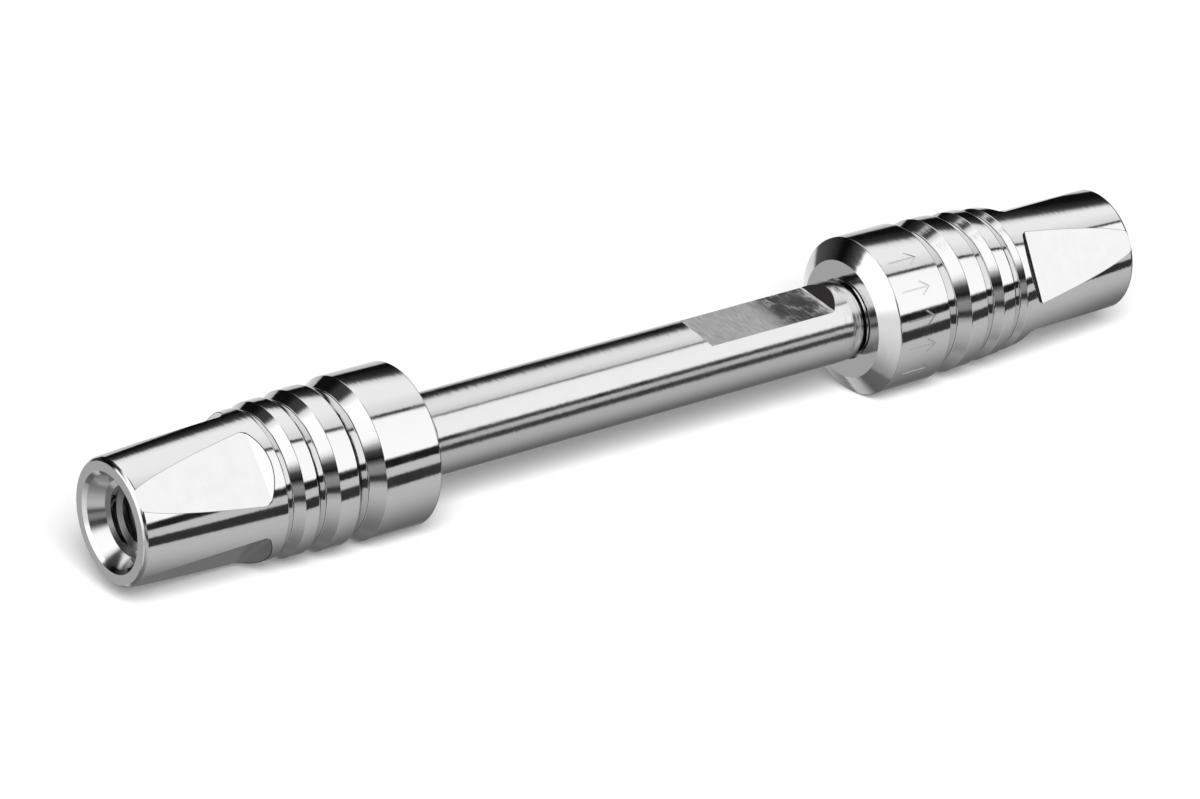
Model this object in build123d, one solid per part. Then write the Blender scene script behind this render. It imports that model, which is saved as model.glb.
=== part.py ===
from build123d import *
import os
from math import radians, tan

# HPLC column, 2.1 mm bore and 50 mm bed, all stainless steel outside.
#
# Millimetres, +Z up. The column's axis is X: the inlet end is at -X, the outlet end at +X,
# and liquid flows along +X. The origin is on the axis, half way between the two end faces.

# ---- Column tube ------------------------------------------------------------------------
TUBE_LENGTH = 50.0  # end to end, and so the length of the packed bed
TUBE_DIAMETER = 6.35  # 1/4 inch bar
BORE_DIAMETER = 2.1
TUBE_THREAD_DIAMETER = 6.29  # crests of the 1/4-28 end threads
TUBE_END_CHAMFER = 0.3
NECK_DIAMETER = 5.1  # thread relief between shoulder and thread
NECK_LENGTH = 1.0
SHOULDER_GAP = 0.4  # from the tube's shoulder to the end fitting's inner face
SHOULDER_TAPER_LENGTH = 0.6  # the drawn-in last stretch of the full diameter
SHOULDER_TAPER_DROP = 0.12  # how far that stretch draws in, on the radius

# ---- Label flat, milled into the tube near the outlet ------------------------------------
LABEL_FLAT_LENGTH = 11.54  # floor only, without its sloped ends
LABEL_FLAT_DEPTH = 0.86
LABEL_FLAT_CENTRE = 11.75  # from the middle of the column, towards the outlet
LABEL_FLAT_TURN = 7.9  # degrees about the axis from straight up, towards -Y
CUTTER_SLOPE = 45.0  # degrees that every milled flat's end wall leans back

# ---- End fitting, turned from one bar; the same at both ends ------------------------------
THREAD_ENGAGEMENT = 4.83  # how far the tube's end reaches into the fitting
END_FACE_DIAMETER = 9.36
END_FACE_CHAMFER = 0.12
SHANK_LENGTH = 11.49
SHANK_SMALL_DIAMETER = 9.60  # just behind the end face
SHANK_LARGE_DIAMETER = 11.35  # at the first groove
SMALL_RIDGE_WIDTH = 1.10
SMALL_RIDGE_DIAMETER = 11.77
LARGE_RIDGE_WIDTH = 1.60
LARGE_RIDGE_DIAMETER = 12.14
COLLAR_WIDTH = 4.74
COLLAR_DIAMETER = 12.46
COLLAR_CHAMFER_LENGTH = 0.98  # along the axis, on the collar's inner end
INNER_FACE_DIAMETER = 9.28
OUTER_GROOVE_WIDTH = 1.37  # between shank and small ridge
MIDDLE_GROOVE_WIDTH = 1.75  # between the ridges
INNER_GROOVE_WIDTH = 2.26  # between large ridge and collar
GROOVE_FLANK_ANGLE = 42.0  # degrees from the axis
GROOVE_BOTTOM_RADIUS = 0.14
CREST_RADIUS = 0.05  # polished edges of ridges and collar
RIDGE_RISE = 0.04  # how much each ridge rises across its width, on the radius

# ---- Wrench flats on the shank --------------------------------------------------------------
WRENCH_SIZE = 9.46  # across opposite flats, for a 3/8 inch spanner
WRENCH_FLAT_COUNT = 4
WRENCH_FLAT_LENGTH = 10.05  # floor only, from the end face
INLET_FITTING_TURN = 51.0  # degrees that one flat is turned from straight up, towards -Y
OUTLET_FITTING_TURN = 64.6

# ---- Port for a 10-32 coned nut and 1/16 inch tubing ----------------------------------------
PORT_THREAD_DIAMETER = 4.826
PORT_THREAD_LENGTH = 7.6
COUNTERSINK_DIAMETER = 7.64
COUNTERSINK_ANGLE = 90.0  # included
FERRULE_CONE_DIAMETER = 3.4
FERRULE_CONE_ANGLE = 40.0  # included
PILOT_DIAMETER = 1.62  # takes the 1/16 inch tubing
PILOT_LENGTH = 1.5
CAPILLARY_DIAMETER = 0.4
SPREADER_ANGLE = 120.0  # included, the shallow cone that feeds the whole bed

# ---- Frits and seal rings --------------------------------------------------------------------
FRIT_DIAMETER = 3.2
FRIT_THICKNESS = 1.5
FRIT_RING_DIAMETER = 5.0
FRIT_POCKET_DEPTH = 1.0  # how much of the ring sits below the threaded bore

# ---- Fits, all on the radius -------------------------------------------------------------------
TUBE_THREAD_CLEARANCE = 0.03
RING_CLEARANCE = 0.03
FRIT_CLEARANCE = 0.01
BED_CLEARANCE = 0.01

# ---- Worked out from the sizes above -------------------------------------------------------------
COLLAR_START = (
    SHANK_LENGTH
    + OUTER_GROOVE_WIDTH
    + SMALL_RIDGE_WIDTH
    + MIDDLE_GROOVE_WIDTH
    + LARGE_RIDGE_WIDTH
    + INNER_GROOVE_WIDTH
)
FITTING_LENGTH = COLLAR_START + COLLAR_WIDTH + COLLAR_CHAMFER_LENGTH
TUBE_HALF = TUBE_LENGTH / 2
INNER_FACE_X = TUBE_HALF - THREAD_ENGAGEMENT
HALF_LENGTH = INNER_FACE_X + FITTING_LENGTH
SHOULDER_X = INNER_FACE_X - SHOULDER_GAP
TUBE_SEAT = HALF_LENGTH - TUBE_HALF  # tube end, measured from the fitting's end face
THREADED_BORE_DIAMETER = TUBE_THREAD_DIAMETER + 2 * TUBE_THREAD_CLEARANCE
FRIT_POCKET_DIAMETER = FRIT_RING_DIAMETER + 2 * RING_CLEARANCE


def turned(outline):
    """A solid of revolution about X from (x, radius) points, closed along the order given."""
    return revolve(make_face(Polyline(*outline, close=True)), axis=Axis.X)


def groove_bottom(left, right):
    """Where the two flanks of a V groove meet, from the (x, radius) of its two edges."""
    slope = tan(radians(GROOVE_FLANK_ANGLE))
    x = (left[0] + right[0]) / 2 + (left[1] - right[1]) / (2 * slope)
    return x, left[1] - slope * (x - left[0])


def milling_cutter(height, start, end, slopes_at_start):
    """What a cutter clears above a flat floor at this height over the axis, between two x
    positions, with a wall that leans back at the end and, if asked, at the start."""
    top = COLLAR_DIAMETER
    run = top / tan(radians(CUTTER_SLOPE))
    outline = [
        (start, height),
        (end, height),
        (end + run, height + top),
        (start - (run if slopes_at_start else 0), height + top),
    ]
    side = make_face(Plane.XZ * Polyline(*outline, close=True))
    return extrude(side, amount=COLLAR_DIAMETER, both=True)


def column_tube():
    """Tube with its bore, shoulders, thread reliefs, threaded ends and label flat."""
    body = TUBE_DIAMETER / 2
    neck = NECK_DIAMETER / 2
    thread = TUBE_THREAD_DIAMETER / 2
    half = [
        (SHOULDER_X - SHOULDER_TAPER_LENGTH, body),
        (SHOULDER_X, body - SHOULDER_TAPER_DROP),
        (SHOULDER_X, neck),
        (SHOULDER_X + NECK_LENGTH, neck),
        (SHOULDER_X + NECK_LENGTH, thread),
        (TUBE_HALF - TUBE_END_CHAMFER, thread),
        (TUBE_HALF, thread - TUBE_END_CHAMFER),
        (TUBE_HALF, BORE_DIAMETER / 2),
    ]
    other_half = [(-x, radius) for x, radius in reversed(half)]
    tube = turned(half + other_half)
    floor = body - LABEL_FLAT_DEPTH
    first = LABEL_FLAT_CENTRE - LABEL_FLAT_LENGTH / 2
    cutter = milling_cutter(floor, first, first + LABEL_FLAT_LENGTH, slopes_at_start=True)
    return tube - Rot(X=LABEL_FLAT_TURN) * cutter


def fitting_outside():
    """The fitting's turned outside as a solid bar, end face at x = 0, collar towards +X."""
    x = SHANK_LENGTH
    shank_edge = (x, SHANK_LARGE_DIAMETER / 2)
    x += OUTER_GROOVE_WIDTH
    small_left = (x, (SMALL_RIDGE_DIAMETER - RIDGE_RISE) / 2)
    x += SMALL_RIDGE_WIDTH
    small_right = (x, (SMALL_RIDGE_DIAMETER + RIDGE_RISE) / 2)
    x += MIDDLE_GROOVE_WIDTH
    large_left = (x, (LARGE_RIDGE_DIAMETER - RIDGE_RISE) / 2)
    x += LARGE_RIDGE_WIDTH
    large_right = (x, (LARGE_RIDGE_DIAMETER + RIDGE_RISE) / 2)
    collar_left = (COLLAR_START, COLLAR_DIAMETER / 2)
    collar_right = (COLLAR_START + COLLAR_WIDTH, COLLAR_DIAMETER / 2)
    corners = [
        ((END_FACE_CHAMFER, SHANK_SMALL_DIAMETER / 2), 0),
        (shank_edge, CREST_RADIUS),
        (groove_bottom(shank_edge, small_left), GROOVE_BOTTOM_RADIUS),
        (small_left, CREST_RADIUS),
        (small_right, CREST_RADIUS),
        (groove_bottom(small_right, large_left), GROOVE_BOTTOM_RADIUS),
        (large_left, CREST_RADIUS),
        (large_right, CREST_RADIUS),
        (groove_bottom(large_right, collar_left), GROOVE_BOTTOM_RADIUS),
        (collar_left, CREST_RADIUS),
        (collar_right, CREST_RADIUS),
        ((FITTING_LENGTH, INNER_FACE_DIAMETER / 2), 0),
    ]
    points = [(0, END_FACE_DIAMETER / 2)] + [point for point, _ in corners] + [(FITTING_LENGTH, 0)]
    line = FilletPolyline(*points, radius=[radius for _, radius in corners])
    outline = line + Polyline((FITTING_LENGTH, 0), (0, 0), (0, END_FACE_DIAMETER / 2))
    return revolve(make_face(outline), axis=Axis.X)


def port_and_pocket():
    """Everything bored out of the fitting: the coned port from the end face inwards, the
    capillary, the spreader cone, the frit pocket and the threaded bore for the tube."""
    thread = PORT_THREAD_DIAMETER / 2
    mouth = COUNTERSINK_DIAMETER / 2
    cone = FERRULE_CONE_DIAMETER / 2
    pilot = PILOT_DIAMETER / 2
    capillary = CAPILLARY_DIAMETER / 2
    bed = BORE_DIAMETER / 2
    pocket = FRIT_POCKET_DIAMETER / 2
    bore = THREADED_BORE_DIAMETER / 2
    thread_start = (mouth - thread) / tan(radians(COUNTERSINK_ANGLE / 2))
    thread_end = thread_start + PORT_THREAD_LENGTH
    pilot_start = thread_end + (cone - pilot) / tan(radians(FERRULE_CONE_ANGLE / 2))
    pilot_end = pilot_start + PILOT_LENGTH
    frit_seat = TUBE_SEAT - FRIT_THICKNESS
    spreader_start = frit_seat - (bed - capillary) / tan(radians(SPREADER_ANGLE / 2))
    bore_start = frit_seat + FRIT_POCKET_DEPTH
    outline = [
        (0, 0),
        (0, mouth),
        (thread_start, thread),
        (thread_end, thread),
        (thread_end, cone),
        (pilot_start, pilot),
        (pilot_end, pilot),
        (pilot_end, capillary),
        (spreader_start, capillary),
        (frit_seat, bed),
        (frit_seat, pocket),
        (bore_start, pocket),
        (bore_start, bore),
        (FITTING_LENGTH, bore),
        (FITTING_LENGTH, 0),
    ]
    return turned(outline)


def end_fitting():
    """One end fitting with its end face at x = 0 and one wrench flat straight up."""
    fitting = fitting_outside() - port_and_pocket()
    cutter = milling_cutter(WRENCH_SIZE / 2, -1, WRENCH_FLAT_LENGTH, slopes_at_start=False)
    for index in range(WRENCH_FLAT_COUNT):
        fitting -= Rot(X=360 * index / WRENCH_FLAT_COUNT) * cutter
    return fitting


def frit():
    """A frit as it lies in the inlet fitting, its inner face on the tube's end."""
    radius = FRIT_DIAMETER / 2
    outer = -TUBE_HALF - FRIT_THICKNESS
    return turned([(outer, 0), (outer, radius), (-TUBE_HALF, radius), (-TUBE_HALF, 0)])


def frit_ring():
    """The seal ring round the inlet frit, as thick as the frit."""
    inside = FRIT_DIAMETER / 2 + FRIT_CLEARANCE
    outside = FRIT_RING_DIAMETER / 2
    outer = -TUBE_HALF - FRIT_THICKNESS
    return turned(
        [(outer, inside), (outer, outside), (-TUBE_HALF, outside), (-TUBE_HALF, inside)]
    )


def packed_bed():
    """The bed of particles, filling the bore from frit to frit."""
    radius = BORE_DIAMETER / 2 - BED_CLEARANCE
    return turned([(-TUBE_HALF, 0), (-TUBE_HALF, radius), (TUBE_HALF, radius), (TUBE_HALF, 0)])


def at_inlet(piece, turn):
    """Puts a piece whose end face is at x = 0 at the inlet end, turned about the axis."""
    return Pos(X=-HALF_LENGTH) * Rot(X=turn) * piece


def at_outlet(piece, turn):
    """The same at the outlet end, with the piece turned end for end."""
    return Pos(X=HALF_LENGTH) * Rot(X=turn) * Rot(Z=180) * piece


def build():
    """All pieces of the column, by node name."""
    fitting = end_fitting()
    turn_round = Rot(Z=180)
    return {
        "column_tube": column_tube(),
        "inlet_end_fitting": at_inlet(fitting, INLET_FITTING_TURN),
        "outlet_end_fitting": at_outlet(fitting, OUTLET_FITTING_TURN),
        "packed_bed": packed_bed(),
        "inlet_frit": frit(),
        "outlet_frit": turn_round * frit(),
        "inlet_frit_ring": frit_ring(),
        "outlet_frit_ring": turn_round * frit_ring(),
    }


os.makedirs("parts", exist_ok=True)
for name, solid in build().items():
    export_step(solid, f"parts/{name}.step")
    print(f"{name}: {solid.volume:.1f} mm3")
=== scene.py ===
"""Looks of a packed steel column for liquid chromatography.

A polished tube with a milled label flat, a turned end fitting on each end, the packed
inside, and the studio they lie in. Sizes are in millimetres until a piece is finished.
"""

import logging
import math
from collections.abc import Callable
from dataclasses import dataclass
from enum import Enum

import bmesh
import bpy
from mathutils import Matrix, Vector


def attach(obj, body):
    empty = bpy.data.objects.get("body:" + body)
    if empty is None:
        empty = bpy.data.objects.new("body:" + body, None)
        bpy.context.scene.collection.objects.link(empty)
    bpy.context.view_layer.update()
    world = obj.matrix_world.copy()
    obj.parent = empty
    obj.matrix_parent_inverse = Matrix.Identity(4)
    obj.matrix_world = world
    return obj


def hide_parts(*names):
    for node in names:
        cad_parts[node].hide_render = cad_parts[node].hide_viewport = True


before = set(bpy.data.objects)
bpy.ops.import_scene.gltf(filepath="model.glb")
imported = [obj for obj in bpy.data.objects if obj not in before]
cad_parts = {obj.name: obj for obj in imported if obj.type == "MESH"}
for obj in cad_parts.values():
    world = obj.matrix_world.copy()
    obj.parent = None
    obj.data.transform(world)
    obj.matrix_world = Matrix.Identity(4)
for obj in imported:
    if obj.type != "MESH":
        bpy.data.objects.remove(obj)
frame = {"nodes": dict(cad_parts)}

Piece = bpy.types.Object
Material = bpy.types.Material
Socket = bpy.types.NodeSocket
Pair = tuple[float, float]
Triple = tuple[float, float, float]
Edges = tuple[float, float, float, float]
Levels = tuple[Pair, ...]

LOG = logging.getLogger("column")
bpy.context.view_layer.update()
MM = 0.001
FULL_TURN = 2 * math.pi
SHARP_ANGLE = math.radians(6.2)
TOLERANCE = 1e-3  # millimetres
SAME_PLACE = 1e-5  # millimetres
NOISE_RANGE = (0.3, 0.7)  # where most of a noise pattern's values lie
BODY = "root"


class Slot(Enum):
    """Material slot names for the modelled pieces, which nothing here uses."""

    TUBE = "polished_tube"
    FITTING = "polished_fitting"


class End(Enum):
    """The two ends of the column, with the side of the axis that each is on."""

    INLET = -1
    OUTLET = 1


@dataclass(frozen=True)
class Corner:
    """One corner of a turned outline: place along the axis, radius there, rounding."""

    x: float
    radius: float
    rounding: float = 0.0


def off_axis(place: Vector) -> float:
    """How far a place is from the column's axis."""
    return math.hypot(place.y, place.z)


# ---- Modelling by hand ----------------------------------------------------------------


class Bench:
    """Operators that several pieces are modelled with. Everything here is in millimetres."""

    @staticmethod
    def clear() -> None:
        """Leaves edit mode and deselects everything."""
        if bpy.context.object and bpy.context.object.mode != "OBJECT":
            bpy.ops.object.mode_set(mode="OBJECT")
        bpy.ops.object.select_all(action="DESELECT")

    @staticmethod
    def take(piece: Piece) -> None:
        """Makes one piece the selected and active one."""
        Bench.clear()
        piece.select_set(True)
        bpy.context.view_layer.objects.active = piece

    @staticmethod
    def edit(piece: Piece) -> None:
        """Opens a piece in edit mode, in vertex select, with nothing selected."""
        Bench.take(piece)
        bpy.ops.object.mode_set(mode="EDIT")
        bpy.ops.mesh.select_mode(type="VERT")
        bpy.ops.mesh.select_all(action="DESELECT")

    @staticmethod
    def pick_points(piece: Piece, wanted: Callable[[Vector], bool]) -> None:
        """Selects vertices by place.

        Args:
            piece: The object, open in edit mode.
            wanted: Says of a vertex's place whether it is selected.
        """
        mesh = bmesh.from_edit_mesh(piece.data)
        for vertex in mesh.verts:
            vertex.select = wanted(vertex.co)
        mesh.select_flush_mode()
        bmesh.update_edit_mesh(piece.data)

    @staticmethod
    def paint(piece: Piece, material: Material, wanted: Callable[[Vector, Vector], bool]) -> None:
        """Gives some of a piece's faces another finish.

        Args:
            piece: The object.
            material: The finish.
            wanted: Says of a face's centre and normal whether it gets the finish.
        """
        piece.data.materials.append(material)
        slot = len(piece.data.materials) - 1
        for face in piece.data.polygons:
            if wanted(face.center, face.normal):
                face.material_index = slot

    @staticmethod
    def draw(name: str, points: list[Vector]) -> Piece:
        """Draws a closed wire outline, one extruded vertex after another.

        Args:
            name: Name of the new object.
            points: The outline's corners in order.

        Returns:
            The object, left in edit mode.
        """
        Bench.clear()
        bpy.ops.mesh.primitive_plane_add(size=1.0, location=points[0])
        piece = bpy.context.object
        piece.name = piece.data.name = name
        bpy.ops.object.transform_apply(location=True, rotation=True, scale=True)
        bpy.ops.object.mode_set(mode="EDIT")
        bpy.ops.mesh.select_mode(type="VERT")
        bpy.ops.mesh.select_all(action="SELECT")
        bpy.ops.mesh.merge(type="CENTER")
        for here, there in zip(points, points[1:]):
            bpy.ops.mesh.extrude_region_move(TRANSFORM_OT_translate={"value": there - here})
        ends = (points[0], points[-1])
        Bench.pick_points(piece, lambda place: any((place - end).length < SAME_PLACE for end in ends))
        bpy.ops.mesh.edge_face_add()
        return piece

    @staticmethod
    def close() -> None:
        """Turns all faces outwards and leaves edit mode."""
        bpy.ops.mesh.select_all(action="SELECT")
        bpy.ops.mesh.normals_make_consistent(inside=False)
        bpy.ops.object.mode_set(mode="OBJECT")

    @staticmethod
    def apply(piece: Piece, kind: str, **settings: object) -> None:
        """Adds a modifier to a piece and applies it.

        Args:
            piece: The object.
            kind: Blender's name of the modifier.
            settings: What is set on it.
        """
        Bench.take(piece)
        modifier = piece.modifiers.new(kind.title(), kind)
        for key, value in settings.items():
            setattr(modifier, key, value)
        bpy.ops.object.modifier_apply(modifier=modifier.name)

    @staticmethod
    def join(pieces: list[Piece]) -> Piece:
        """Joins pieces into one.

        Args:
            pieces: The objects.

        Returns:
            The first of them, which now holds them all.
        """
        Bench.clear()
        for piece in pieces:
            piece.select_set(True)
        bpy.context.view_layer.objects.active = pieces[0]
        bpy.ops.object.join()
        return pieces[0]

    @staticmethod
    def copy(piece: Piece, name: str, place: Matrix) -> Piece:
        """Copies a piece with its own mesh.

        Args:
            piece: The object that is copied.
            name: Name of the copy.
            place: Where the copy goes, from where the original is.

        Returns:
            The copy, with its place applied to its mesh.
        """
        Bench.take(piece)
        bpy.ops.object.duplicate(linked=False)
        twin = bpy.context.object
        twin.name = twin.data.name = name
        Bench.settle(twin, place)
        return twin

    @staticmethod
    def settle(piece: Piece, place: Matrix) -> None:
        """Moves a piece and writes its place into its mesh."""
        Bench.take(piece)
        piece.matrix_world = place
        bpy.ops.object.transform_apply(location=True, rotation=True, scale=True)

    @staticmethod
    def cut(piece: Piece, cutter: Piece) -> None:
        """Cuts the piece with the cutter, whose material the new faces keep, and drops it."""
        settings = {"operation": "DIFFERENCE", "solver": "EXACT", "material_mode": "TRANSFER"}
        Bench.apply(piece, "BOOLEAN", object=cutter, **settings)
        bpy.data.objects.remove(cutter, do_unlink=True)


class Lathe:
    """Turned shapes about the X axis."""

    @staticmethod
    def turn(name: str, corners: list[Corner], segments: int, step: float = 5.4) -> Piece:
        """Turns a closed outline into a solid of revolution.

        Args:
            name: Name of the new object.
            corners: The outline, outside first, then back through the bore.
            segments: Faces round the axis.
            step: Degrees that one face of a rounded corner turns.

        Returns:
            The object, in object mode.
        """
        points = [Vector((corner.x, 0, corner.radius)) for corner in corners]
        piece = Bench.draw(name, points)
        for index, corner in enumerate(corners):
            if corner.rounding:
                before = points[index] - points[index - 1]
                after = points[(index + 1) % len(points)] - points[index]
                Lathe.round_off(piece, points[index], corner.rounding, before.angle(after), step)
        bpy.ops.mesh.select_all(action="SELECT")
        bpy.ops.mesh.spin(
            steps=segments, angle=FULL_TURN, center=(0, 0, 0), axis=(1, 0, 0), use_auto_merge=True
        )
        bpy.ops.mesh.select_all(action="SELECT")
        bpy.ops.mesh.remove_doubles(threshold=SAME_PLACE)
        Bench.close()
        return piece

    @staticmethod
    def round_off(piece: Piece, point: Vector, rounding: float, bend: float, step: float) -> None:
        """Rounds one corner of a drawn outline to an arc.

        Args:
            piece: The outline, open in edit mode.
            point: The corner.
            rounding: The arc's radius.
            bend: How far the outline turns there, in radians.
            step: Degrees that each face of the arc turns.
        """
        Bench.pick_points(piece, lambda place: (place - point).length < SAME_PLACE)
        bpy.ops.mesh.bevel(
            offset=rounding * math.tan(bend / 2),
            segments=max(2, math.ceil(math.degrees(bend) / step)),
            affect="VERTICES",
            profile=0.5,
            clamp_overlap=False,
        )


class Mill:
    """Cutters for flats and marks, swept along Y."""

    @staticmethod
    def block(name: str, outline: list[Pair], half_width: float) -> Piece:
        """A straight block with this side outline.

        Args:
            name: Name of the new object.
            outline: The (x, z) corners of its side.
            half_width: How far it reaches to each side of the XZ plane.

        Returns:
            The block, closed and with its faces outwards, in object mode.
        """
        piece = Bench.draw(name, [Vector((x, -half_width, z)) for x, z in outline])
        bpy.ops.mesh.select_all(action="SELECT")
        bpy.ops.mesh.edge_face_add()
        bpy.ops.mesh.extrude_region_move(TRANSFORM_OT_translate={"value": (0, 2 * half_width, 0)})
        Bench.close()
        return piece


# ---- Finishes ---------------------------------------------------------------------------


class NodeTree:
    """A node tree, with short ways to add and link nodes."""

    def __init__(self, tree: bpy.types.NodeTree) -> None:
        """Starts with this tree, emptied."""
        self.tree = tree
        self.tree.nodes.clear()

    def link(self, source: Socket, target: Socket) -> None:
        """Links one socket to another."""
        self.tree.links.new(source, target)

    def feed(self, socket: Socket, value: object) -> None:
        """Links a socket, or sets it where the value is a plain one."""
        if isinstance(value, Socket):
            self.link(value, socket)
        else:
            socket.default_value = value

    def math(self, operation: str, *values: object) -> Socket:
        """Adds a Math node.

        Args:
            operation: Blender's name of the operation.
            values: Sockets or numbers for its inputs.

        Returns:
            Its output.
        """
        node = self.tree.nodes.new("ShaderNodeMath")
        node.operation = operation
        for socket, value in zip(node.inputs, values):
            self.feed(socket, value)
        return node.outputs[0]

    def ramp(self, value: object, source: Pair, target: Pair = (0.0, 1.0)) -> Socket:
        """Maps one range of values onto another, held at its ends.

        Args:
            value: What is mapped.
            source: The range it is read in.
            target: The range it gives.

        Returns:
            The mapped value.
        """
        node = self.tree.nodes.new("ShaderNodeMapRange")
        self.feed(node.inputs["Value"], value)
        node.inputs["From Min"].default_value, node.inputs["From Max"].default_value = source
        node.inputs["To Min"].default_value, node.inputs["To Max"].default_value = target
        return node.outputs[0]

    def window(self, value: object, edges: Edges) -> Socket:
        """Rises from 0 to 1 between the first two edges and falls back between the last two."""
        return self.math("MULTIPLY", self.ramp(value, edges[:2]), self.ramp(value, edges[2:], (1, 0)))

    def bands(self, value: object, levels: Levels) -> Socket:
        """Reads a value off a list of places and their levels, straight between them.

        Args:
            value: The place that is looked up.
            levels: Places in rising order, 32 at most, each with its level.

        Returns:
            The level there.
        """
        near, far = levels[0][0], levels[-1][0]
        node = self.tree.nodes.new("ShaderNodeValToRGB")
        self.link(self.ramp(value, (near, far)), node.inputs[0])
        stops = node.color_ramp.elements
        for index, (place, level) in enumerate(levels):
            at = (place - near) / (far - near)
            stop = stops[index] if index < 2 else stops.new(at)
            stop.position, stop.color = at, (level, level, level, 1)
        return node.outputs[0]

    def blend(self, factor: object, low: object, high: object) -> Socket:
        """Goes from the low value to the high one as the factor goes from 0 to 1."""
        rest = self.math("SUBTRACT", 1.0, factor)
        return self.math("ADD", self.math("MULTIPLY", low, rest), self.math("MULTIPLY", high, factor))

    def combine(self, x: object, y: object, z: object) -> Socket:
        """Puts three values together as a vector."""
        node = self.tree.nodes.new("ShaderNodeCombineXYZ")
        for socket, value in zip(node.inputs, (x, y, z)):
            self.feed(socket, value)
        return node.outputs[0]

    def coordinates(self, kind: str, scale: float) -> tuple[Socket, list[Socket]]:
        """Texture coordinates, scaled.

        Args:
            kind: Which output of Texture Coordinate is read.
            scale: What it is multiplied by.

        Returns:
            The vector, and its three parts.
        """
        source = self.tree.nodes.new("ShaderNodeTexCoord")
        scaled = self.tree.nodes.new("ShaderNodeVectorMath")
        scaled.operation = "SCALE"
        self.link(source.outputs[kind], scaled.inputs[0])
        scaled.inputs["Scale"].default_value = scale
        parts = self.tree.nodes.new("ShaderNodeSeparateXYZ")
        self.link(scaled.outputs[0], parts.inputs[0])
        return scaled.outputs[0], list(parts.outputs)


class Finish(NodeTree):
    """The node tree of a new material that has a shader and an output."""

    def __init__(self, name: str) -> None:
        """Starts a material.

        Args:
            name: Its name.
        """
        self.material = bpy.data.materials.new(name)
        self.material.use_nodes = True
        super().__init__(self.material.node_tree)
        output = self.tree.nodes.new("ShaderNodeOutputMaterial")
        self.shader = self.tree.nodes.new("ShaderNodeBsdfPrincipled")
        self.link(self.shader.outputs[0], output.inputs[0])

    def place(self) -> tuple[Socket, list[Socket]]:
        """The place on the piece in millimetres, as a vector and as its three parts."""
        return self.coordinates("Object", 1 / MM)

    def radius(self, y: Socket, z: Socket) -> Socket:
        """How far the place is from the X axis."""
        squares = self.math("ADD", self.math("MULTIPLY", y, y), self.math("MULTIPLY", z, z))
        return self.math("SQRT", squares)

    def noise(self, vector: object, scale: float, detail: float = 2.0) -> Socket:
        """Adds a noise pattern.

        Args:
            vector: The place that it is read at.
            scale: Features per unit of that place.
            detail: Octaves.

        Returns:
            Its value, mostly inside NOISE_RANGE.
        """
        node = self.tree.nodes.new("ShaderNodeTexNoise")
        self.feed(node.inputs["Vector"], vector)
        node.inputs["Scale"].default_value = scale
        node.inputs["Detail"].default_value = detail
        return node.outputs[0]

    def grain(self, parts: list[Socket], pitch: float, length: float) -> Socket:
        """Noise that is short along the axis and long across it.

        Args:
            parts: The place in millimetres.
            pitch: Size of a feature along X.
            length: Its size along Y and Z.

        Returns:
            The noise.
        """
        x, y, z = (self.math("DIVIDE", part, size) for part, size in zip(parts, (pitch, length, length)))
        return self.noise(self.combine(x, y, z), 1.0)

    def spread(self, value: object, middle: float, reach: float) -> Socket:
        """Maps noise onto a middle value and as much above and below it."""
        return self.ramp(value, NOISE_RANGE, (middle - reach, middle + reach))

    def bump(self, height: object, microns: float, after: object = None) -> Socket:
        """Adds a bump of this many microns.

        Args:
            height: The pattern, 0 to 1.
            microns: How deep the pattern is.
            after: Another bump's normal to build on.

        Returns:
            The bumped normal.
        """
        node = self.tree.nodes.new("ShaderNodeBump")
        node.inputs["Distance"].default_value = microns * 1e-6
        self.feed(node.inputs["Height"], height)
        if after is not None:
            self.link(after, node.inputs["Normal"])
        return node.outputs[0]

    def metal(self, colour: Triple) -> None:
        """Makes the shader bare metal of this colour."""
        self.shader.inputs["Base Color"].default_value = (*colour, 1)
        self.shader.inputs["Metallic"].default_value = 1

    def surface(self, roughness: Socket, normal: Socket) -> Material:
        """Gives the shader its roughness and its bumps, and returns the material."""
        self.link(roughness, self.shader.inputs["Roughness"])
        self.link(normal, self.shader.inputs["Normal"])
        return self.material


@dataclass(frozen=True)
class TurnedSteel:
    """Stainless steel polished on the lathe: fine rings round the axis and short flutters."""

    name: str
    colour: Triple = (0.8, 0.8, 0.8)
    roughness: float = 0.08
    roughness_spread: float = 0.025
    ring_pitch: float = 0.12
    ring_depth: float = 0.6
    flutter_pitch: float = 0.22
    flutter_length: float = 1.1
    flutter_depth: float = 5.0
    cloud_scale: float = 0.6

    def material(self) -> Material:
        """Makes the material.

        Returns:
            The material, with all its nodes.
        """
        finish = Finish(self.name)
        place, (x, y, z) = finish.place()
        rings = finish.noise(finish.combine(x, finish.radius(y, z), 0.0), 1 / self.ring_pitch, 3)
        flutter = finish.grain([x, y, z], self.flutter_pitch, self.flutter_length)
        clouds = finish.noise(place, self.cloud_scale, 4)
        finish.metal(self.colour)
        roughness = finish.spread(clouds, self.roughness, self.roughness_spread)
        lines = finish.bump(rings, self.ring_depth)
        return finish.surface(roughness, finish.bump(flutter, self.flutter_depth, lines))


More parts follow.
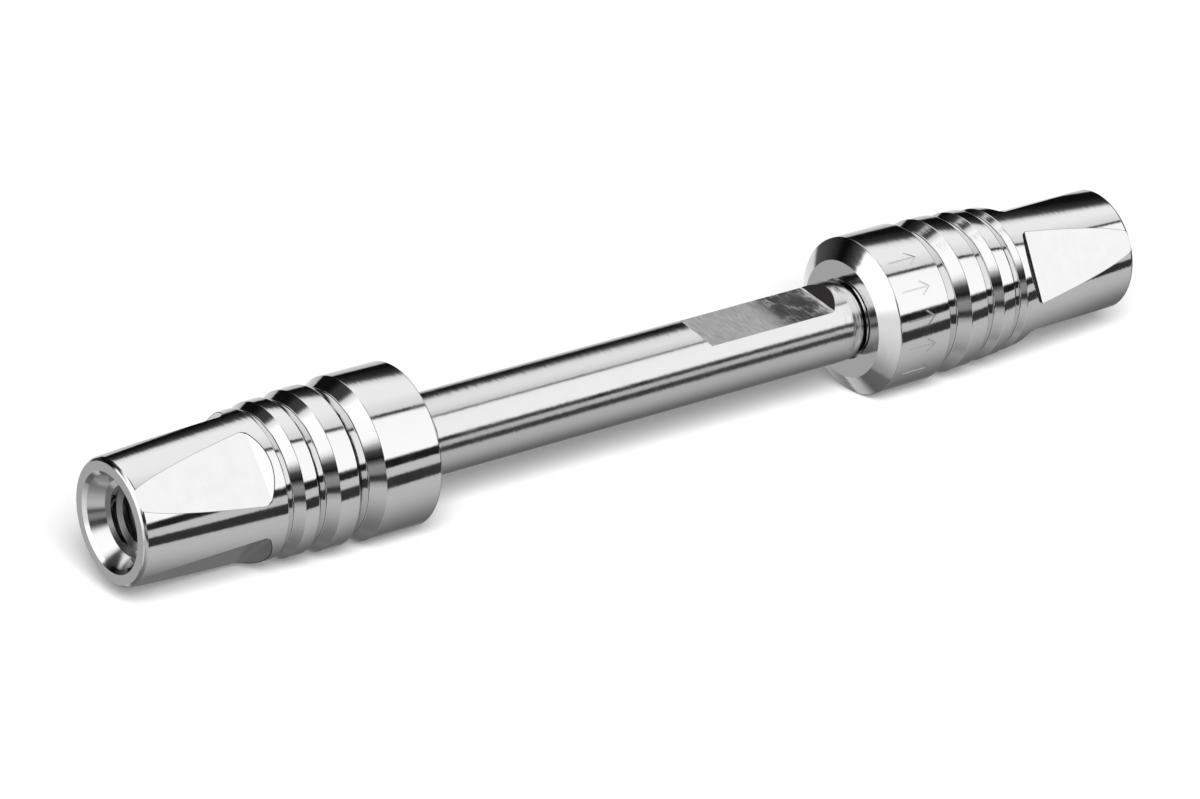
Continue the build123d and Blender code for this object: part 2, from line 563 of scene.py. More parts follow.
@dataclass(frozen=True)
class MilledSteel:
    """Steel left by an end mill: fine slanting lines and, where wanted, a patch rubbed smoother."""

    name: str
    colour: Triple = (0.78, 0.78, 0.78)
    roughness: float = 0.3
    roughness_spread: float = 0.03
    line_pitch: float = 0.1
    line_depth: float = 1.0
    line_turn: float = 35.0
    line_squeeze: Triple = (1, 0.12, 0.3)
    tone_share: float = 0.7
    tone_spread: float = 0.03
    streak_share: float = 0.5
    patch_start: Pair | None = None
    patch_cover: Pair = (0.27, 0.51)
    patch_streaks: float = 0.45
    patch_roughness: float = 0.2
    cloud_scale: float = 0.9

    def material(self) -> Material:
        """Makes the material.

        Returns:
            The material, with all its nodes.
        """
        finish = Finish(self.name)
        place, (x, _, _) = finish.place()
        mapping = finish.tree.nodes.new("ShaderNodeMapping")
        mapping.inputs["Rotation"].default_value = (0, 0, math.radians(self.line_turn))
        mapping.inputs["Scale"].default_value = self.line_squeeze
        finish.link(place, mapping.inputs["Vector"])
        slanting = mapping.outputs[0]
        lines = finish.noise(slanting, 1 / self.line_pitch, 3)
        tones = finish.noise(slanting, self.tone_share / self.line_pitch, 3)
        streaks = finish.noise(slanting, self.streak_share / self.line_pitch, 6)
        finish.metal(self.colour)
        tint = finish.tree.nodes.new("ShaderNodeVectorMath")
        tint.operation = "SCALE"
        tint.inputs[0].default_value = self.colour
        finish.link(finish.spread(tones, 1.0, self.tone_spread), tint.inputs["Scale"])
        finish.link(tint.outputs[0], finish.shader.inputs["Base Color"])
        roughness = finish.spread(streaks, self.roughness, self.roughness_spread)
        if self.patch_start:
            clouds = finish.noise(place, self.cloud_scale, 4)
            blotches = finish.ramp(finish.blend(self.patch_streaks, clouds, streaks), self.patch_cover)
            patch = finish.math("MULTIPLY", blotches, finish.ramp(x, self.patch_start))
            roughness = finish.blend(patch, roughness, self.patch_roughness)
        return finish.surface(roughness, finish.bump(lines, self.line_depth))


@dataclass(frozen=True)
class FlatSteel:
    """A finely milled wrench flat with a line of painted shade where it meets the turned shank.

    The line follows the shank's cone, which is shank_radius at the end face and grows by
    shank_growth for each millimetre. It is wider and darker on the run-out: edge_width and
    edge_colour hold the value on the flat and the one on the run-out.
    """

    name: str
    colour: float = 0.78
    roughness: float = 0.16
    spread: float = 0.02
    line_pitch: float = 0.1
    line_length: float = 1.2
    line_depth: float = 0.4
    cloud_scale: float = 0.9
    half_length: float = 45.46
    shank_radius: float = 4.8
    shank_growth: float = 0.0762
    run_out: Pair = (35.3, 35.7)
    edge_width: Pair = (0.025, 0.05)
    edge_colour: Pair = (0.45, 0.04)
    edge_roughness: float = 0.4

    def material(self) -> Material:
        """Makes the material.

        Returns:
            The material, with all its nodes.
        """
        finish = Finish(self.name)
        place, (x, y, z) = finish.place()
        lines = finish.grain([x, y, z], self.line_pitch, self.line_length)
        clouds = finish.noise(place, self.cloud_scale, 4)
        along = finish.math("ABSOLUTE", x)
        end = finish.math("SUBTRACT", self.half_length, along)
        outside = finish.math("ADD", finish.math("MULTIPLY", end, self.shank_growth), self.shank_radius)
        below = finish.math("SUBTRACT", outside, finish.radius(y, z))
        sloped = finish.ramp(along, self.run_out, (1, 0))
        # Painted shade: a dark line along the edge to the shank, wider and darker on the run-out.
        edge = finish.math("LESS_THAN", below, finish.blend(sloped, *self.edge_width))
        edge_shade = finish.blend(sloped, *self.edge_colour)
        tone = finish.blend(edge, finish.spread(clouds, self.colour, self.spread), edge_shade)
        roughness = finish.blend(
            edge, finish.spread(clouds, self.roughness, self.spread), self.edge_roughness
        )
        finish.metal((self.colour,) * 3)
        finish.link(finish.combine(tone, tone, tone), finish.shader.inputs["Base Color"])
        return finish.surface(roughness, finish.bump(lines, self.line_depth))


@dataclass(frozen=True)
class PlainGrain:
    """A matte finish with a fine grain, for what is packed inside."""

    name: str
    colour: Triple
    darker: Triple
    metallic: float
    roughness: float
    grain: float
    depth: float
    roughness_spread: float = 0.06

    def material(self) -> Material:
        """Makes the material.

        Returns:
            The material, with all its nodes.
        """
        finish = Finish(self.name)
        place, _ = finish.place()
        grain = finish.noise(place, 1 / self.grain, 3)
        mix = finish.tree.nodes.new("ShaderNodeMix")
        mix.data_type = "RGBA"
        finish.link(finish.ramp(grain, NOISE_RANGE), mix.inputs["Factor"])
        mix.inputs["A"].default_value = (*self.darker, 1)
        mix.inputs["B"].default_value = (*self.colour, 1)
        finish.link(mix.outputs["Result"], finish.shader.inputs["Base Color"])
        finish.shader.inputs["Metallic"].default_value = self.metallic
        roughness = finish.spread(grain, self.roughness, self.roughness_spread)
        return finish.surface(roughness, finish.bump(grain, self.depth))


# ---- Pieces -------------------------------------------------------------------------------


def finish_piece(piece: Piece, place: Matrix, node: str) -> None:
    """Puts a modelled piece in its place in metres and hands it to the frame.

    Args:
        piece: The piece, in millimetres.
        place: Where it goes, in millimetres.
        node: The solid that it stands for.
    """
    Bench.settle(piece, Matrix.Scale(MM, 4) @ place)
    Bench.take(piece)
    bpy.ops.object.shade_smooth_by_angle(angle=SHARP_ANGLE)
    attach(piece, BODY)
    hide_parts(node)
    LOG.info("%s: %d faces", piece.name, len(piece.data.polygons))


@dataclass
class ColumnTube:
    """The tube between the end fittings, with its shoulders, threaded ends and label flat.

    undercut holds width and radius, wall_foot the reach along the floor and up the wall.
    """

    length: float = 50.0
    diameter: float = 6.35
    bore: float = 2.1
    thread_diameter: float = 6.29
    end_chamfer: float = 0.3
    neck_diameter: float = 5.9
    neck_length: float = 1.0
    undercut: Pair = (0.07, 2.75)
    shoulder_x: float = 19.77
    taper_length: float = 0.6
    taper_drop: float = 0.12
    taper_rounding: float = 0.6
    edge_rounding: float = 0.05
    flat_length: float = 11.54
    flat_depth: float = 0.86
    flat_centre: float = 11.75
    flat_turn: float = 7.9
    wall_foot: Pair = (0.1, 0.07)
    segments: int = 360

    def outline(self) -> list[Corner]:
        """Draws up the turned outline.

        Returns:
            Its corners, from one end over the outside to the other and back.
        """
        body, neck = self.diameter / 2, self.neck_diameter / 2
        thread, half = self.thread_diameter / 2, self.length / 2
        side = [
            Corner(self.shoulder_x - self.taper_length, body, self.taper_rounding),
            Corner(self.shoulder_x, body - self.taper_drop, self.edge_rounding),
            Corner(self.shoulder_x, self.undercut[1]),
            Corner(self.shoulder_x + self.undercut[0], self.undercut[1]),
            Corner(self.shoulder_x + self.undercut[0], neck),
            Corner(self.shoulder_x + self.neck_length, neck),
            Corner(self.shoulder_x + self.neck_length, thread),
            Corner(half - self.end_chamfer, thread),
            Corner(half, thread - self.end_chamfer),
            Corner(half, self.bore / 2),
        ]
        return side + [Corner(-c.x, c.radius, c.rounding) for c in reversed(side)]

    def label_cutter(self, floor_finish: Material, wall_finish: Material) -> Piece:
        """The end mill's sweep over the label flat, with a sloped wall at each end.

        Args:
            floor_finish: Finish of the flat's floor.
            wall_finish: Finish of its end walls.

        Returns:
            The cutter, in its place.
        """
        floor, rise, half_width = self.diameter / 2 - self.flat_depth, 2.0, 4.0
        start = self.flat_centre - self.flat_length / 2
        end = start + self.flat_length
        before, up = self.wall_foot
        outline = [
            (start, floor),
            (end - before, floor),
            (end + up, floor + up),
            (end + rise, floor + rise),
            (start - rise, floor + rise),
        ]
        cutter = Mill.block("label_cutter", outline, half_width)
        cutter.data.materials.append(floor_finish)
        Bench.paint(cutter, wall_finish, lambda _, normal: abs(normal.x) > 0.5 and normal.z < 0)
        Bench.settle(cutter, Matrix.Rotation(math.radians(self.flat_turn), 4, "X"))
        return cutter

    def build(self, steel: Material, floor_finish: Material, wall_finish: Material, undercut_shade: Material) -> None:
        """Models the tube and hands it to the frame.

        Args:
            steel: Finish of the turned outside.
            floor_finish: Finish of the label flat's floor.
            wall_finish: Finish of its end walls.
            undercut_shade: Dark finish of the narrow undercut behind each shoulder, as painted shade.
        """
        tube = Lathe.turn("tube", self.outline(), self.segments)
        tube.data.materials.append(steel)
        Bench.cut(tube, self.label_cutter(floor_finish, wall_finish))
        # The undercut behind each shoulder is painted dark: painted shade.
        Bench.paint(
            tube,
            undercut_shade,
            lambda centre, _: -TOLERANCE <= abs(centre.x) - self.shoulder_x <= self.undercut[0] + TOLERANCE
            and off_axis(centre) < self.neck_diameter / 2,
        )
        finish_piece(tube, Matrix(), "column_tube")


@dataclass
class EndFitting:
    """One turned end fitting, end face at x = 0 and collar towards +X, one flat straight up.

    mouth_chamfer holds depth and fall, mouth_cone the depth and radius where it ends, and
    each of run_outs the width and angle of one slope at the end of a wrench flat.
    """

    half_length: float = 45.46
    end_face: float = 9.12
    end_face_chamfer: float = 0.22
    end_face_rounding: float = 0.04
    rim_rounding: float = 0.35
    shank_length: float = 11.49
    shank_small: float = 9.60
    shank_large: float = 11.35
    ridge_widths: Pair = (1.10, 1.60)
    ridge_diameters: Pair = (11.77, 12.14)
    ridge_rise: float = 0.04
    groove_widths: Triple = (1.37, 1.75, 2.26)
    groove_angles: Pair = (27.0, 31.0)
    groove_rounding: float = 0.2
    # How far the painted shade reaches round each groove's root.
    corner_shade_reach: float = 0.05
    crest_rounding: float = 0.14
    collar_width: float = 4.74
    collar_diameter: float = 12.46
    collar_chamfer: float = 0.98
    inner_face: float = 9.28
    wrench_size: float = 9.46
    wrench_length: float = 10.05
    wrench_flats: int = 4
    run_outs: tuple[Pair, ...] = ((0.4, 22.0), (1.0, 48.0))
    port_thread: float = 4.826
    port_length: float = 7.6
    thread_setback: float = 0.15
    countersink: float = 7.64
    mouth_chamfer: Pair = (0.24, 0.31)
    mouth_cone: Pair = (1.36, 2.86)
    step_reach: float = 0.3
    ferrule_cone: float = 3.4
    ferrule_angle: float = 40.0
    pilot: float = 1.62
    pilot_length: float = 1.5
    capillary: float = 0.4
    tube_seat: float = 20.46
    frit_thickness: float = 1.5
    frit_pocket: float = 5.06
    pocket_depth: float = 1.0
    bed: float = 2.1
    spreader_angle: float = 120.0
    threaded_bore: float = 6.35
    inlet_turn: float = 51.0
    outlet_turn: float = 64.6
    segments: int = 360

    def groove(self, left: Corner, right: Corner) -> Corner:
        """The bottom of the V groove between two crests."""
        fall, rise = (math.tan(math.radians(angle)) for angle in self.groove_angles)
        x = (fall * left.x + rise * right.x + left.radius - right.radius) / (fall + rise)
        return Corner(x, left.radius - fall * (x - left.x), self.groove_rounding)

    def outside(self) -> list[Corner]:
        """Draws up the turned outside.

        Returns:
            Its corners, from the end face to the inner face.
        """
        crest, rise = self.crest_rounding, self.ridge_rise
        x = self.shank_length
        crests = [Corner(x, self.shank_large / 2, crest)]
        for gap, width, diameter in zip(self.groove_widths, self.ridge_widths, self.ridge_diameters):
            x += gap
            crests.append(Corner(x, (diameter - rise) / 2, crest))
            x += width
            crests.append(Corner(x, (diameter + rise) / 2, crest))
        x += self.groove_widths[-1]
        crests.append(Corner(x, self.collar_diameter / 2, crest))
        x += self.collar_width
        crests.append(Corner(x, self.collar_diameter / 2, crest))
        line = [
            Corner(0, self.end_face / 2, self.end_face_rounding),
            Corner(self.end_face_chamfer, self.shank_small / 2, self.rim_rounding),
            crests[0],
        ]
        for left, right, end in zip(crests[0::2], crests[1::2], crests[2::2]):
            line += [self.groove(left, right), right, end]
        line.append(Corner(x + self.collar_chamfer, self.inner_face / 2))
        return line

    def inside(self, length: float) -> list[Corner]:
        """The bored inside, from the inner face back to the port's mouth.

        Args:
            length: The fitting's length, end face to inner face.

        Returns:
            The corners in order.
        """
        thread, mouth = self.port_thread / 2, self.countersink / 2
        cone, pilot, capillary = self.ferrule_cone / 2, self.pilot / 2, self.capillary / 2
        thread_start = mouth - thread + self.thread_setback
        thread_end = thread_start - self.thread_setback + self.port_length
        pilot_start = thread_end + (cone - pilot) / math.tan(math.radians(self.ferrule_angle / 2))
        pilot_end = pilot_start + self.pilot_length
        seat = self.tube_seat - self.frit_thickness
        spreader = seat - (self.bed / 2 - capillary) / math.tan(math.radians(self.spreader_angle / 2))
        return [
            Corner(length, self.threaded_bore / 2),
            Corner(seat + self.pocket_depth, self.threaded_bore / 2),
            Corner(seat + self.pocket_depth, self.frit_pocket / 2),
            Corner(seat, self.frit_pocket / 2),
            Corner(seat, self.bed / 2),
            Corner(spreader, capillary),
            Corner(pilot_end, capillary),
            Corner(pilot_end, pilot),
            Corner(pilot_start, pilot),
            Corner(thread_end, cone),
            Corner(thread_end, thread),
            Corner(thread_start, thread),
            Corner(*self.mouth_cone),
            Corner(self.mouth_chamfer[0], mouth - self.mouth_chamfer[1]),
            Corner(0, mouth),
        ]

    def wrench_cutter(self, milled: Material) -> Piece:
        """Makes the end mill's sweep over all the wrench flats.

        Args:
            milled: Finish of what it cuts.

        Returns:
            The cutter, in the fitting's own frame.
        """
        start, rise, half_width = -1.0, 2.0, 3.6
        x, z = self.wrench_length - self.run_outs[0][0] / 2, self.wrench_size / 2
        outline = [(start, z), (x, z)]
        for width, angle in self.run_outs:
            x, z = x + width, z + width * math.tan(math.radians(angle))
            outline.append((x, z))
        outline += [(x, z + rise), (start, z + rise)]
        first = Mill.block("wrench_cutter", outline, half_width)
        first.data.materials.append(milled)
        quarter = FULL_TURN / self.wrench_flats
        rest = [
            Bench.copy(first, f"wrench_cutter_{index}", Matrix.Rotation(index * quarter, 4, "X"))
            for index in range(1, self.wrench_flats)
        ]
        return Bench.join([first, *rest])

    def place(self, end: End) -> Matrix:
        """Finds where a fitting goes, with its flats turned as they ended up when tight.

        Args:
            end: Its end of the column.

        Returns:
            Its place, in millimetres.
        """
        outlet = end is End.OUTLET
        about = Matrix.Rotation(math.radians(self.outlet_turn if outlet else self.inlet_turn), 4, "X")
        if outlet:
            about = about @ Matrix.Rotation(math.pi, 4, "Z")
        return Matrix.Translation((end.value * self.half_length, 0, 0)) @ about

    def model(self, steel: Material, cone: Material, milled: Material, corner_shade: Material) -> Piece:
        """Models one fitting without its marks.

        Args:
            steel: Finish of the turned faces.
            cone: Finish of the port's cone.
            milled: Finish of the wrench flats.
            corner_shade: Dark finish painted into the groove roots and the ring behind the port's cone, as
                painted shade.

        Returns:
            The fitting, in millimetres, with its end face at x = 0.
        """
        outside = self.outside()
        fitting = Lathe.turn("fitting", outside + self.inside(outside[-1].x), self.segments)
        fitting.data.materials.append(steel)
        # Painted shade: a dark finish in each groove's root and in the ring behind the port's cone.
        roots = [corner for corner in outside if corner.rounding == self.groove_rounding]
        Bench.paint(
            fitting,
            corner_shade,
            lambda centre, _: any(
                math.hypot(centre.x - root.x, off_axis(centre) - root.radius) < self.corner_shade_reach
                for root in roots
            ),
        )
        cone_start, (cone_end, step) = self.mouth_chamfer[0], self.mouth_cone
        Bench.paint(
            fitting,
            cone,
            lambda centre, _: cone_start < centre.x < cone_end and off_axis(centre) < self.countersink / 2,
        )
        Bench.paint(
            fitting,
            corner_shade,
            lambda centre, _: cone_end < centre.x < cone_end + self.step_reach
            and self.port_thread / 2 < off_axis(centre) < step,
        )
        Bench.cut(fitting, self.wrench_cutter(milled))
        return fitting


@dataclass
class FlowMarks:
    """Plain arrows stamped round the outlet collar, in the column's own frame."""

    radius: float = 6.23
    depth: float = 0.04
    start: float = 21.95
    length: float = 2.5
    head_length: float = 0.95
    head_angle: float = 38.0
    stroke: float = 0.15
    turns: tuple[float, ...] = (57.0, 33.5, 12.0, -9.0, -31.0)

    def outline(self) -> list[Pair]:
        """Draws up one arrow that points to the outlet.

        Returns:
            Its (x, z) corners.
        """
        half, tip = self.stroke / 2, self.start + self.length
        sine, cosine = math.sin(math.radians(self.head_angle)), math.cos(math.radians(self.head_angle))
        arm_x, arm_z = tip - self.head_length * cosine, self.head_length * sine
        upper = [
            (self.start, half),
            (tip - half * (1 + cosine) / sine, half),
            (arm_x - half * sine, arm_z - half * cosine),
            (arm_x + half * sine, arm_z + half * cosine),
            (tip + half / sine, 0.0),
        ]
        return upper + [(x, -z) for x, z in reversed(upper[:-1])]

    def stamp(self, fitting: Piece, stamped: Material) -> None:
        """Presses the marks into the collar.

        Args:
            fitting: The outlet fitting, in its place, in millimetres.
            stamped: Finish inside the strokes.
        """
        half_width = 0.5
        first = Mill.block("flow_marks", self.outline(), half_width)
        first.data.materials.append(stamped)
        outwards = Matrix.Translation((0, self.depth - self.radius - half_width, 0))
        copies = [
            Bench.copy(first, f"flow_mark_{turn:g}", Matrix.Rotation(math.radians(-turn), 4, "X") @ outwards)
            for turn in self.turns
        ]
        bpy.data.objects.remove(first, do_unlink=True)
        Bench.cut(fitting, Bench.join(copies))


@dataclass
class PortThread:
    """The helical ridge of the 10-32 thread inside a port."""

    major: float = 4.826
    minor: float = 3.97
    pitch: float = 0.79375
    start: float = 1.9
    turns: int = 9
    crest_width: float = 0.16
    flank_angle: float = 30.0
    root_overlap: float = 0.02
    steps: int = 72

    def model(self, flank: Material, crest: Material) -> Piece:
        """Models the ridge as one closed helical bar.

        Args:
            flank: Finish of its sloped sides, rough as the tap left them and painted dark, as painted shade
                inside the port.
            crest: Finish of its narrow crest, rubbed bright by the nut.

        Returns:
            The ridge, in millimetres, in the fitting's own frame.
        """
        base = self.major / 2 + self.root_overlap
        reach = (base - self.minor / 2) * math.tan(math.radians(self.flank_angle))
        half_crest = self.crest_width / 2
        outline = [
            (self.start - half_crest - reach, base),
            (self.start - half_crest, self.minor / 2),
            (self.start + half_crest, self.minor / 2),
            (self.start + half_crest + reach, base),
        ]
        ridge = Bench.draw("port_thread", [Vector((x, 0, radius)) for x, radius in outline])
        bpy.ops.object.mode_set(mode="OBJECT")
        path = {"axis": "X", "angle": FULL_TURN, "screw_offset": self.pitch, "iterations": self.turns}
        Bench.apply(ridge, "SCREW", steps=self.steps, render_steps=self.steps, **path)
        Bench.edit(ridge)
        bpy.ops.mesh.select_non_manifold(extend=False)
        bpy.ops.mesh.edge_face_add()
        Bench.close()
        ridge.data.materials.clear()
        ridge.data.materials.append(flank)
        Bench.paint(ridge, crest, lambda centre, _: off_axis(centre) < self.minor / 2 + TOLERANCE)
        return ridge


@dataclass
class Inside:
    """What is packed inside: the bed, the frits and their seal rings."""

    bed: PlainGrain = PlainGrain(
        "bed_powder", (0.93, 0.93, 0.91), (0.86, 0.86, 0.84), 0, roughness=0.9, grain=0.05, depth=8
    )
    frit: PlainGrain = PlainGrain(
        "sintered_steel", (0.6, 0.6, 0.59), (0.38, 0.38, 0.37), 1, roughness=0.55, grain=0.04, depth=6
    )
    seal: PlainGrain = PlainGrain(
        "seal_ring", (0.74, 0.64, 0.49), (0.68, 0.58, 0.43), 0, roughness=0.5, grain=0.3, depth=2
    )

    def dress(self, nodes: dict[str, Piece]) -> None:
        """Gives the inner solids their finishes.

        Args:
            nodes: The frame's solids by name.
        """
        bed, frit, seal = (finish.material() for finish in (self.bed, self.frit, self.seal))
        finishes = {"packed_bed": bed}
        for end in ("inlet", "outlet"):
            finishes[f"{end}_frit"] = frit
            finishes[f"{end}_frit_ring"] = seal
        for name, material in finishes.items():
            mesh = nodes[name].data
            mesh.materials.clear()
            mesh.materials.append(material)
            LOG.info("%s: %s", name, material.name)


# ---- Studio ----------------------------------------------------------------------------------


@dataclass
class Studio:
    """Floor, what the metal sees round it, and the key light.

    Each list of levels gives brightness by angle about the column, in degrees: 0 is level
    on the near side, 90 straight up, 180 level on the far side, 270 and -90 straight down.
    """

    floor_height: float = -0.00623
    floor_size: float = 6.0
    floor_colour: float = 0.9
    floor_roughness: float = 0.9
    floor_lift: float = 0.04
    soft_light: float = 0.28
    key_level: float = 0.86
    key_direction: Triple = (-0.6, -1.12, 1.0)
    key_angle: float = 31.0
    skew: float = 30.0
    skew_along: Pair = (0.1, 0.9)
    skew_start: Pair = (0.22, 0.32)
    skew_angles: Edges = (90, 112, 150, 165)
    outlet_fade: Pair = (0.84, 0.93)
    outlet_level: float = 0.02
    sides_start: Pair = (0.0, 0.06)
    limit_below: tuple[Pair, Pair] = ((-88, -45), (-0.56, -0.86))
    limit_above: tuple[Pair, Pair] = ((95, 140), (0.0, 0.3))
    limit_blur: Pair = (-0.02, 0.02)
    gap_level: float = 0.04
    gap_along: Edges = (-0.14, -0.1, 0.2, 0.26)
    gap_angles: Edges = (9, 14, 84, 100)
    along_sides: Levels = (
        (-90, 0.25), (-74, 0.375), (-58, 0.5), (-46, 0.556), (-31.2, 0.57), (-30, 0.035),
        (-15, 0.035), (-13.8, 0.62), (-2.6, 0.62), (-1.4, 0.012), (8.6, 0.012), (11.2, 1.2),
        (64.2, 1.16), (67.2, 0.03), (70, 0.03), (71.8, 0.8), (93, 1.02), (118, 1.03),
        (127, 0.85), (134, 0.09), (141, 0.028), (157, 0.005), (168.5, 0.006), (171, 0.54),
        (206, 0.92), (211, 0.42), (218, 0.3), (228, 0.18), (238, 0.135), (252, 0.16), (270, 0.25),
    )
    towards_inlet: Levels = (
        (-90, 0.17), (-78, 0.2), (-66, 0.29), (-52, 0.43), (-38, 0.53), (-28, 0.56),
        (-20, 0.36), (-17, 0.06), (-11, 0.03), (-6, 0.26), (4, 0.3), (9, 0.12),
        (14, 0.006), (25, 0.07), (33, 0.5), (37, 0.9), (44, 1.2), (98, 1.25),
        (109, 0.8), (113, 0.14), (117, 0.056), (130, 0.045), (136, 0.016), (142, 0.006),
        (160, 0.004), (188, 0.1), (200, 0.43), (212, 0.43), (224, 0.65), (236, 0.5), (243, 0.12), (270, 0.17),
    )
    beyond_inlet: Levels = (
        (-90, 0.42), (-81, 0.58), (-72, 0.71), (-61, 0.79), (-47, 0.86), (-25, 0.86),
        (-7, 1.0), (10, 1.2), (17, 1.3), (135.5, 1.3), (138.5, 0.14), (144, 0.06),
        (148, 0.035), (152, 0.014), (158, 0.005), (170, 0.02), (185, 0.3), (200, 0.43),
        (212, 0.43), (226, 0.16), (240, 0.15), (248, 0.19), (257, 0.27), (264, 0.34), (270, 0.42),
    )

    def floor(self) -> None:
        """A pale floor, a little lifted to white where it is seen. Metal sees it in the world."""
        Bench.clear()
        bpy.ops.mesh.primitive_plane_add(size=self.floor_size, location=(0, 0, self.floor_height))
        floor = bpy.context.object
        floor.name = "floor"
        finish = Finish("floor_paper")
        shader = finish.shader
        shader.inputs["Base Color"].default_value = (self.floor_colour,) * 3 + (1,)
        shader.inputs["Roughness"].default_value = self.floor_roughness
        shader.inputs["Specular IOR Level"].default_value = 0.0
        rays = finish.tree.nodes.new("ShaderNodeLightPath")
        seen = finish.math("MAXIMUM", rays.outputs["Is Camera Ray"], rays.outputs["Is Transmission Ray"])
        shader.inputs["Emission Color"].default_value = (1, 1, 1, 1)
        finish.link(finish.math("MULTIPLY", seen, self.floor_lift), shader.inputs["Emission Strength"])
        floor.data.materials.append(finish.material)
        floor.visible_glossy = False

    def surroundings(self, nodes: NodeTree) -> Socket:
        """What metal sees round the column: panels above, the floor's bands below with a painted shadow of
        the column.

        Args:
            nodes: The world's nodes.

        Returns:
            The brightness in each direction.
        """
        _, (along, across, up) = nodes.coordinates("Generated", 1.0)
        near = nodes.math("MULTIPLY", across, -1.0)
        angle = nodes.math("MULTIPLY", nodes.math("ARCTAN2", up, near), 180 / math.pi)
        below_far = nodes.math("LESS_THAN", angle, -90.0)
        angle = nodes.math("ADD", angle, nodes.math("MULTIPLY", below_far, 360.0))
        # The overhead panel's far edge runs askew, so it is met sooner towards the outlet.
        lean = nodes.ramp(along, self.skew_along, (-self.skew, self.skew))
        lean = nodes.math("MULTIPLY", lean, nodes.ramp(along, self.skew_start))
        lean = nodes.math("MULTIPLY", lean, nodes.window(angle, self.skew_angles))
        sides = nodes.bands(nodes.math("ADD", angle, lean), self.along_sides)
        sides = nodes.math("MULTIPLY", sides, nodes.ramp(along, self.outlet_fade, (1.0, self.outlet_level)))
        # How far towards the inlet a direction must point to meet the far inlet panel.
        limit = nodes.math("ADD", nodes.ramp(angle, *self.limit_below), nodes.ramp(angle, *self.limit_above))
        past = nodes.ramp(nodes.math("SUBTRACT", limit, along), self.limit_blur)
        inlet = nodes.blend(
            past, nodes.bands(angle, self.towards_inlet), nodes.bands(angle, self.beyond_inlet)
        )
        seen = nodes.blend(nodes.ramp(along, self.sides_start), inlet, sides)
        # Above the near side, between the side panels and those at the inlet, the room is dark.
        gap = nodes.math(
            "MULTIPLY", nodes.window(along, self.gap_along), nodes.window(angle, self.gap_angles)
        )
        return nodes.blend(gap, seen, self.gap_level)

    def world(self) -> None:
        """Soft light all round for matte things, white for the eye, panels for metal."""
        world = bpy.data.worlds.new("studio")
        bpy.context.scene.world = world
        world.use_nodes = True
        nodes = NodeTree(world.node_tree)
        panels = self.surroundings(nodes)
        rays = nodes.tree.nodes.new("ShaderNodeLightPath")
        matte = nodes.math("MULTIPLY", rays.outputs["Is Diffuse Ray"], self.soft_light)
        shiny = nodes.math("MULTIPLY", rays.outputs["Is Glossy Ray"], panels)
        white = nodes.math("MAXIMUM", rays.outputs["Is Camera Ray"], rays.outputs["Is Transmission Ray"])
        level = nodes.math("ADD", nodes.math("ADD", matte, shiny), white)
        background = nodes.tree.nodes.new("ShaderNodeBackground")
        background.inputs["Color"].default_value = (1, 1, 1, 1)
        output = nodes.tree.nodes.new("ShaderNodeOutputWorld")
        nodes.link(level, background.inputs["Strength"])
        nodes.link(background.outputs[0], output.inputs[0])

    def key(self) -> None:
        """One broad key light from the near side. Metal sees the world's panels instead."""
        Bench.clear()
        direction = Vector(self.key_direction).normalized()
        bpy.ops.object.light_add(type="SUN", location=direction)
        lamp = bpy.context.object
        lamp.name = "key_light"
        lamp.rotation_euler = direction.to_track_quat("Z", "Y").to_euler()
        lamp.data.angle = math.radians(self.key_angle)
        lamp.data.energy = self.key_level * math.pi / direction.z
        lamp.visible_glossy = False

    def build(self) -> None:
        """Builds the studio."""
        self.floor()
        self.world()
        self.key()
        LOG.info("studio ready")


@dataclass
class Viewpoint:
    """The camera."""

    location: Triple = (-0.245258, -0.339915, 0.177301)
    right: Triple = (0.813938, -0.580951, 0.0)
    up: Triple = (0.228204, 0.319724, 0.919619)
    lens: float = 181.94
    sensor: float = 36.0

    def build(self) -> None:
        """Makes the camera and gives it to the scene."""
        Bench.clear()
        bpy.ops.object.camera_add(location=self.location)
        camera = bpy.context.object
        right, up = Vector(self.right), Vector(self.up)
        turn = Matrix((right, up, right.cross(up))).transposed()
        camera.rotation_euler = turn.to_euler()
        camera.data.lens, camera.data.sensor_width = self.lens, self.sensor
        camera.data.clip_start = 0.01
        bpy.context.scene.camera = camera
        LOG.info("camera ready")


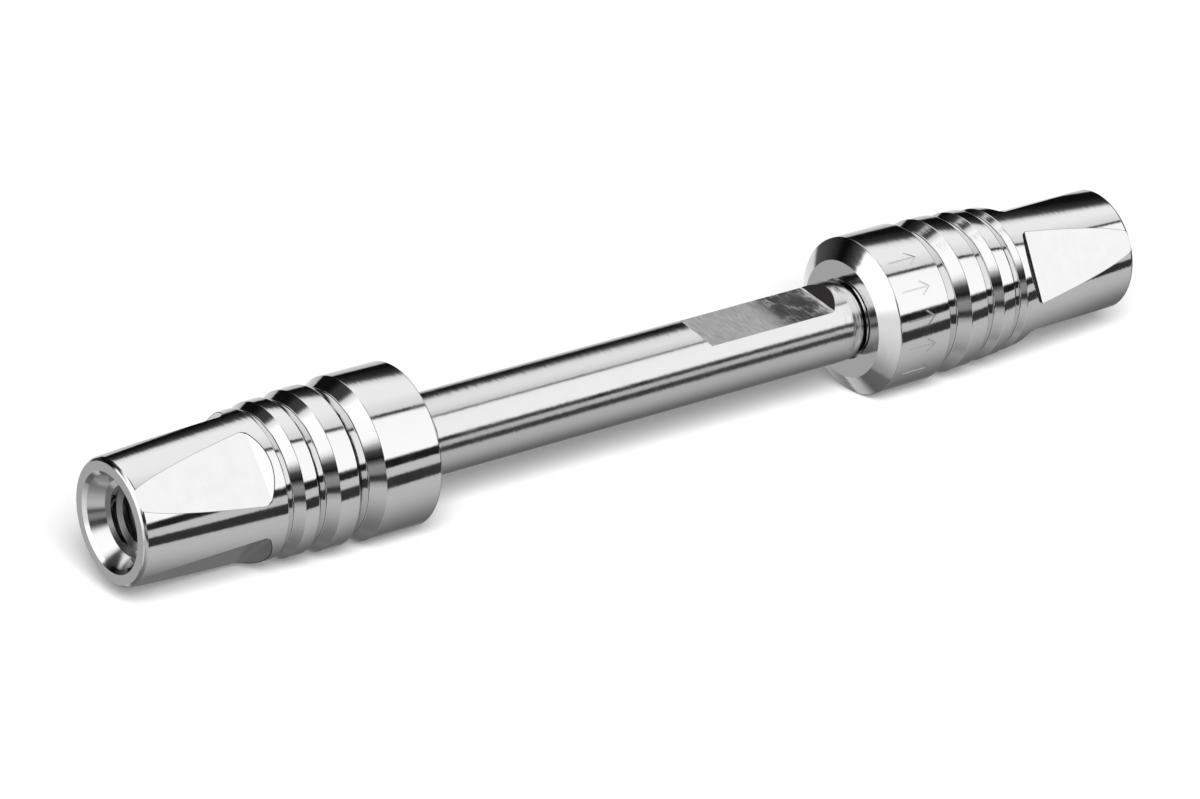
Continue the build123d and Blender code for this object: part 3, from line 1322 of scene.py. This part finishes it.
def main() -> None:
    """Builds everything in order."""
    logging.basicConfig(level=logging.INFO, format="%(name)s: %(message)s")
    bpy.context.scene.view_settings.view_transform = "Standard"
    tube_steel = TurnedSteel(
        "polished_tube_steel", colour=(0.72,) * 3, roughness=0.145, flutter_pitch=0.16, flutter_depth=16.0
    )
    fitting_steel = TurnedSteel("polished_fitting_steel")
    # Painted shade: the thread's flanks are much darker than the steel they are cut in.
    shaded_thread_steel = TurnedSteel("shaded_thread_steel", colour=(0.3,) * 3, roughness=0.3)
    cone_steel = TurnedSteel("port_cone_steel", roughness=0.17, flutter_depth=2.0)
    # Painted shade for the groove roots and the ring behind the port's cone.
    corner_shade = TurnedSteel("painted_corner_shade", colour=(0.22,) * 3, roughness=0.4)
    # Painted shade for the undercut behind each shoulder.
    undercut_shade = TurnedSteel("painted_undercut_shade", colour=(0.1,) * 3, roughness=0.45)
    stamped_steel = TurnedSteel("stamped_steel", colour=(0.7,) * 3, roughness=0.3)
    milled_label = MilledSteel(
        "milled_label_flat",
        roughness=0.48,
        roughness_spread=0.1,
        line_pitch=0.07,
        line_depth=5.0,
        tone_spread=0.2,
        patch_start=(11.9, 13.6),
        patch_roughness=0.15,
    )
    milled_wall = MilledSteel("milled_label_wall", colour=(0.8, 0.72, 0.76), roughness=0.12)
    milled_wrench = FlatSteel("milled_wrench_flat")

    ColumnTube().build(
        tube_steel.material(), milled_label.material(), milled_wall.material(), undercut_shade.material()
    )

    shape = EndFitting()
    fitting = shape.model(
        fitting_steel.material(), cone_steel.material(), milled_wrench.material(), corner_shade.material()
    )
    fitting = Bench.join([fitting, PortThread().model(shaded_thread_steel.material(), fitting_steel.material())])
    outlet = Bench.copy(fitting, "outlet_fitting", shape.place(End.OUTLET))
    FlowMarks().stamp(outlet, stamped_steel.material())
    fitting.name = fitting.data.name = "inlet_fitting"
    finish_piece(fitting, shape.place(End.INLET), "inlet_end_fitting")
    finish_piece(outlet, Matrix(), "outlet_end_fitting")
    Inside().dress(frame["nodes"])
    Studio().build()
    Viewpoint().build()


if __name__ == "__main__":
    main()
